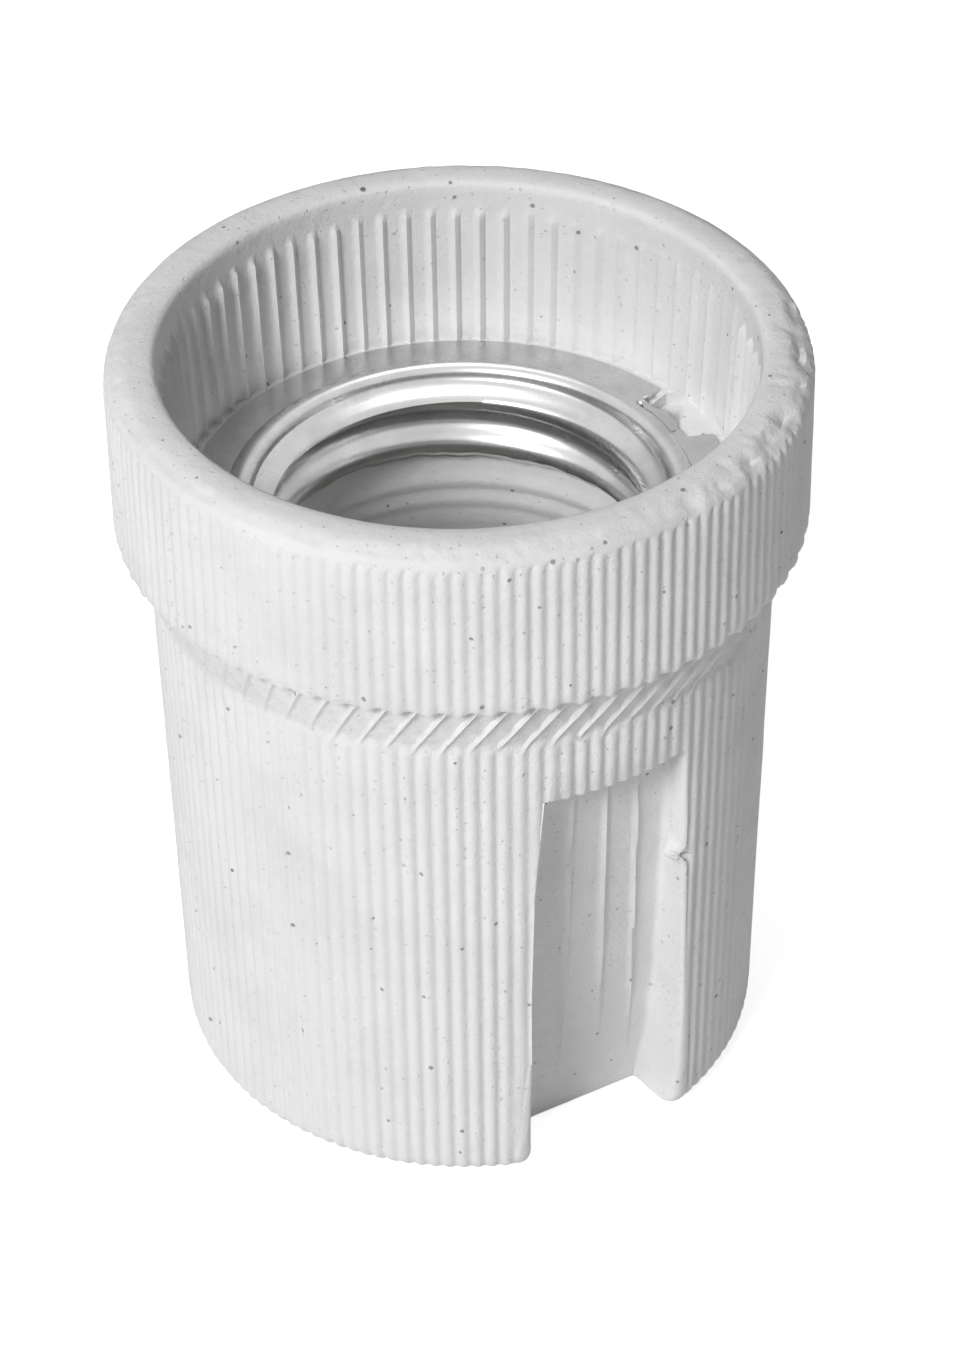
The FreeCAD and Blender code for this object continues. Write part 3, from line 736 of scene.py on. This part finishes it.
# pressed sheet: flange with its notch, rolled bead, thread, and the tab folded into the ledge
sheet = dict(
    thick=0.33, outer=18.15, notchRadius=16.4, notch=(82.6, 101.4), notchEdge=0.6, flangeFoot=15.66,
    bead=14.75, beadHalf=0.85, beadHeight=0.72, beadStep=15, crest=12.25, root=13.35, pitch=3.63,
    crestZ=41.75, crestTurn=150.0, neck=13.9, mouthZ=41.9, lastRadius=13.0, lastZ=36.9, end=36.95,
    threadRows=34, columns=320, tabThick=0.26, tabLift=0.40,
    tabFoot=((15.62, 2.45), (15.78, 1.6), (15.82, 0.7), (15.80, -0.15), (15.70, -1.0)),
    tabTips=((16.15, 2.38), (17.18, 1.50), (16.75, 0.75), (16.72, -0.25), (16.10, -0.95)),
    tabDrops=(0.05, 0.42, 0.30, 0.12, 0.02), pinchColumns=14,
    pinches=(((16.45, 3.30, 43.02), (0.42, 0.20, 0.17)), ((15.62, 2.86, 43.12), (0.24, 0.34, 0.20))))


def threadRadius(angle, z):
    # rolled thread: the crest climbs one pitch a turn
    turn = (angle - sheet["crestTurn"]) / 360.0
    wave = np.cos(2 * np.pi * ((z - sheet["crestZ"]) / sheet["pitch"] - turn))
    middle = (sheet["crest"] + sheet["root"]) / 2
    half = (sheet["root"] - sheet["crest"]) / 2
    thread = middle - half * np.sign(wave) * np.abs(wave) ** 0.8
    mouthward = smooth((z - sheet["mouthZ"]) / 1.0)
    lower = smooth((z - sheet["lastZ"]) / 0.8)
    thread = thread + (sheet["lastRadius"] - thread) * (1 - lower) * 0.6
    return thread + (sheet["neck"] - thread) * mouthward


def shellRows(angles):
    # radius and level of each ring of the upper face, from the flange's edge in and down
    top = height - shape["ledgeDepth"] + sheet["thick"] + 0.02
    rows = []
    start, end = sheet["notch"]

    def inNotch(shift):
        turn = (angles - shift) % 360
        edge = sheet["notchEdge"]
        return smooth((turn - start) / edge + 0.5) * smooth((end - turn) / edge + 0.5)

    missing = np.maximum(inNotch(0), inNotch(180))
    outer = sheet["outer"] + (sheet["notchRadius"] - sheet["outer"]) * missing
    wave = 0.02 * np.sin(np.radians(angles * 3))
    for share in (0.0, 0.03, 0.3, 0.6, 0.9, 1.0):
        radius = outer + (sheet["flangeFoot"] - outer) * share
        rows.append((radius, top + wave * (1 - share) + 0 * angles))
    for step in range(1, 12):
        turn = math.radians(sheet["beadStep"] * step)
        rows.append((sheet["bead"] + sheet["beadHalf"] * math.cos(turn) + 0 * angles,
                     top - 0.06 + sheet["beadHeight"] * math.sin(turn) + 0 * angles))
    ragged = 0.20 * np.sin(np.radians(angles * 3 + 50)) + 0.06 * np.sin(np.radians(angles * 17))
    ragged = ragged + 0.05 * np.sin(np.radians(angles * 41 + 20))
    levels = np.linspace(top - 0.15, sheet["end"], sheet["threadRows"])
    for z in levels:
        share = (top - z) / (top - sheet["end"])
        zRow = z - ragged * smooth((share - 0.75) / 0.25)
        rows.append((threadRadius(angles, z), zRow))
    return rows


def makeShell():
    angles = np.arange(sheet["columns"]) * 360.0 / sheet["columns"]
    rows = shellRows(angles)
    radii = np.array([row[0] for row in rows])
    levels = np.array([row[1] for row in rows])
    alongR, alongZ = np.gradient(radii, axis=0), np.gradient(levels, axis=0)
    length = np.hypot(alongR, alongZ) + 1e-9
    # the lower face lies one thickness under the upper
    underR = radii - sheet["thick"] * alongZ / length
    underZ = levels + sheet["thick"] * alongR / length
    skin = Skin()
    for radius, z in zip(radii, levels):
        skin.add(circlePoints(radius, angles, z), angles)
    for radius, z in zip(underR[::-1], underZ[::-1]):
        skin.add(circlePoints(radius, angles, np.minimum(z, height)), angles)
    skin.band(skin.last, np.arange(len(angles)))
    for side in (1, -1):
        foldedTab(skin, side)
        for centre, size in sheet["pinches"]:
            pinch(skin, side, centre, size)
    mesh = skin.mesh("shell_pressing")
    piece = addPiece("shell_pressing", mesh, finishes["shell"], "holder", ["screw_shell"])
    print("shell:", len(piece.data.polygons), "faces")


def foldedTab(skin, side):
    # torn tongue left on the bead's foot and pushed down into its pocket
    ledgeZ = height - shape["ledgeDepth"]
    edges = list(zip(sheet["tabFoot"], sheet["tabTips"], sheet["tabDrops"]))
    skin.last = None
    for share in (0.0, 0.35, 0.7, 1.0):
        upper = [((fx + (tx - fx) * share) * side, (fy + (ty - fy) * share) * side,
                  ledgeZ + sheet["tabLift"] - drop * share ** 2) for (fx, fy), (tx, ty), drop in edges]
        lower = [(x, y, z - sheet["tabThick"]) for x, y, z in upper[::-1]]
        index = skin.add(np.array(upper + lower))
        if share == 0.0:
            skin.faces.append(tuple(index[::-1]))
    skin.faces.append(tuple(index))


def pinch(skin, side, centre, size):
    # small bright crease where the sheet is nipped at the end of the flange
    skin.last = None
    turns = np.radians(np.arange(sheet["pinchColumns"]) * 360.0 / sheet["pinchColumns"])
    for lift in (-75, -45, -15, 15, 45, 75):
        flat, up = math.cos(math.radians(lift)), math.sin(math.radians(lift))
        ring = np.stack([(centre[0] + size[0] * flat * np.cos(turns)) * side,
                         (centre[1] + size[1] * flat * np.sin(turns)) * side,
                         centre[2] + size[2] * up + 0 * turns], axis=1)
        index = skin.add(ring)
        if lift == -75:
            skin.faces.append(tuple(index[::-1]))
    skin.faces.append(tuple(index))


makeShell()


# the coil under the centre button: wire radius, turns, levels; pressed is how much of its height stays
contact = dict(
    wire=0.18, wireSides=10, turns=2.5, low=17.98, high=20.08, radius=3.5, samples=30, seat=17.7, pressed=0.5)


def tube(points, radius, sides, name):
    # round wire along a path
    skin = Skin()
    ways = np.gradient(points, axis=0)
    for point, way in zip(points, ways):
        way = Vector(way).normalized()
        side = way.cross(Vector((0, 0, 1))).normalized()
        across, up = np.array(side), np.array(side.cross(way))
        turns = np.radians(np.arange(sides) * 360.0 / sides)
        ring = np.array([point + radius * (math.cos(turn) * across + math.sin(turn) * up) for turn in turns])
        index = skin.add(ring, np.degrees(turns))
        if skin.count == sides:
            skin.faces.append(tuple(index[::-1]))
    skin.faces.append(tuple(index))
    return skin.mesh(name, 0.0)


def makeSpring():
    share = np.linspace(0, 1, int(contact["turns"] * contact["samples"]) + 1)
    turn = 2 * np.pi * contact["turns"] * share
    rise = contact["low"] + (contact["high"] - contact["low"]) * smooth(share)
    path = np.stack([contact["radius"] * np.cos(turn), contact["radius"] * np.sin(turn), rise], axis=1)
    mesh = tube(path, contact["wire"], contact["wireSides"], "contact_coil")
    coil = addPiece("contact_coil", mesh, finishes["spring"], "holder", ["contact_spring"])
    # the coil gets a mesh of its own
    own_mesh(coil)


makeSpring()
# the small parts that keep their own solids
dressed = dict(
    brass=("contact_cup", "contact_button", "contact_rivet", "live_link", "neutral_link", "live_terminal",
           "neutral_terminal", "live_terminal_rivet", "neutral_terminal_rivet"),
    plated=("live_clamp_washer", "neutral_clamp_washer", "live_terminal_screw", "neutral_terminal_screw"))
for look, nodes in dressed.items():
    for nodeName in nodes:
        node = bpy.data.objects[nodeName]
        node.data.materials.clear()
        node.data.materials.append(finishes[look])
print("metal parts dressed")


# lengths of the camera in millimetres, places of the lamps in metres, angles in degrees
studio = dict(
    floorTone=0.86, floorGlow=0.77, floorReach=1.6, floorDrop=0.0002, world=0.18, worldDark=0.10,
    lampAim=(0, 0, 0.03),
    keyPower=6.2, keySize=0.32, keyPlace=(-0.629, -0.334, 0.598),
    topPower=0.5, topSize=0.30, topPlace=(0.10, 0.15, 0.62),
    target=(0.94, -0.53, 27.81), distance=306.6, azimuth=-29.5, elevation=38.35, roll=-0.77, lens=120.1)


def whiteRays(root):
    # the rays that see a white background, apart from those that light the object
    camera, shiny, clear = [root.node("ShaderNodeLightPath", output=name) for name in (
        "Is Camera Ray", "Is Glossy Ray", "Is Transmission Ray")]
    return camera.maths("ADD", camera, shiny + clear, True)


def makeFloor():
    mesh = bpy.data.meshes.new("floor")
    reach, low = studio["floorReach"], -studio["floorDrop"]
    corners = [(-reach, -reach, low), (reach, -reach, low), (reach, reach, low), (-reach, reach, low)]
    mesh.from_pydata(corners, [], [(0, 1, 2, 3)])
    floor = bpy.data.objects.new("floor", mesh)
    bpy.context.collection.objects.link(floor)
    material, root = newMaterial("floor")
    spot = places(root, 1.0)
    faint = cloud(root, spot, 3.0, 2.0)
    tone = (faint * 0.3).blend(grey(studio["floorTone"]), grey(studio["floorTone"] * 0.97))
    matt = root.node("ShaderNodeBsdfDiffuse", {}, {"Color": tone})
    glow = root.node("ShaderNodeEmission", {}, {"Color": grey(1.0), "Strength": studio["floorGlow"]})
    lit = root.node("ShaderNodeAddShader", {}, {0: matt, 1: glow})
    both = root.node("ShaderNodeMixShader", {}, {0: whiteRays(root), 1: matt, 2: lit})
    root.node("ShaderNodeOutputMaterial", {}, {"Surface": both})
    mesh.materials.append(material)


def makeWorld():
    world = bpy.data.worlds.new("studio")
    bpy.context.scene.world = world
    world.use_nodes = True
    world.node_tree.nodes.clear()
    root = Wire(world.node_tree)
    way = root.node("ShaderNodeTexCoord", output=0)
    parts = axesOf(root, way)
    # the room is lighter on the key lamp's side
    side = parts[0] * -0.75 + parts[1] * -0.62 + parts[2] * 0.2
    tone = side.span(-0.7, 0.9, studio["worldDark"], studio["world"])
    strength = root.node("ShaderNodeMix", {"data_type": "FLOAT"}, {0: whiteRays(root), 2: tone, 3: 1.0})
    back = root.node("ShaderNodeBackground", {}, {"Color": grey(1.0), "Strength": strength})
    root.node("ShaderNodeOutputWorld", {}, {"Surface": back})


def addLamp(name, place, size, power):
    lamp = bpy.data.lights.new(name, "AREA")
    lamp.shape, lamp.size, lamp.energy = "DISK", size, power
    holder = bpy.data.objects.new(name, lamp)
    bpy.context.collection.objects.link(holder)
    holder.location = place
    aim = Vector(studio["lampAim"]) - Vector(place)
    holder.rotation_euler = aim.to_track_quat("-Z", "Y").to_euler()


def makeCamera():
    camera = bpy.data.cameras.new("camera")
    camera.lens, camera.sensor_width, camera.sensor_fit = studio["lens"], 36.0, "AUTO"
    camera.clip_start = 0.01
    holder = bpy.data.objects.new("camera", camera)
    bpy.context.collection.objects.link(holder)
    turn, rise = math.radians(studio["azimuth"]), math.radians(studio["elevation"])
    back = Vector((math.sin(turn) * math.cos(rise), -math.cos(turn) * math.cos(rise), math.sin(rise)))
    place = (Vector(studio["target"]) + back * studio["distance"]) * mm
    level = back.to_track_quat("Z", "Y").to_matrix()
    roll = Matrix.Rotation(math.radians(studio["roll"]), 3, "Z")
    holder.matrix_world = Matrix.Translation(place) @ (level @ roll).to_4x4()
    bpy.context.scene.camera = holder


makeFloor()
makeWorld()
addLamp("key", studio["keyPlace"], studio["keySize"], studio["keyPower"])
addLamp("top", studio["topPlace"], studio["topSize"], studio["topPower"])
makeCamera()
bpy.context.scene.view_settings.view_transform = "Standard"
print("studio ready")
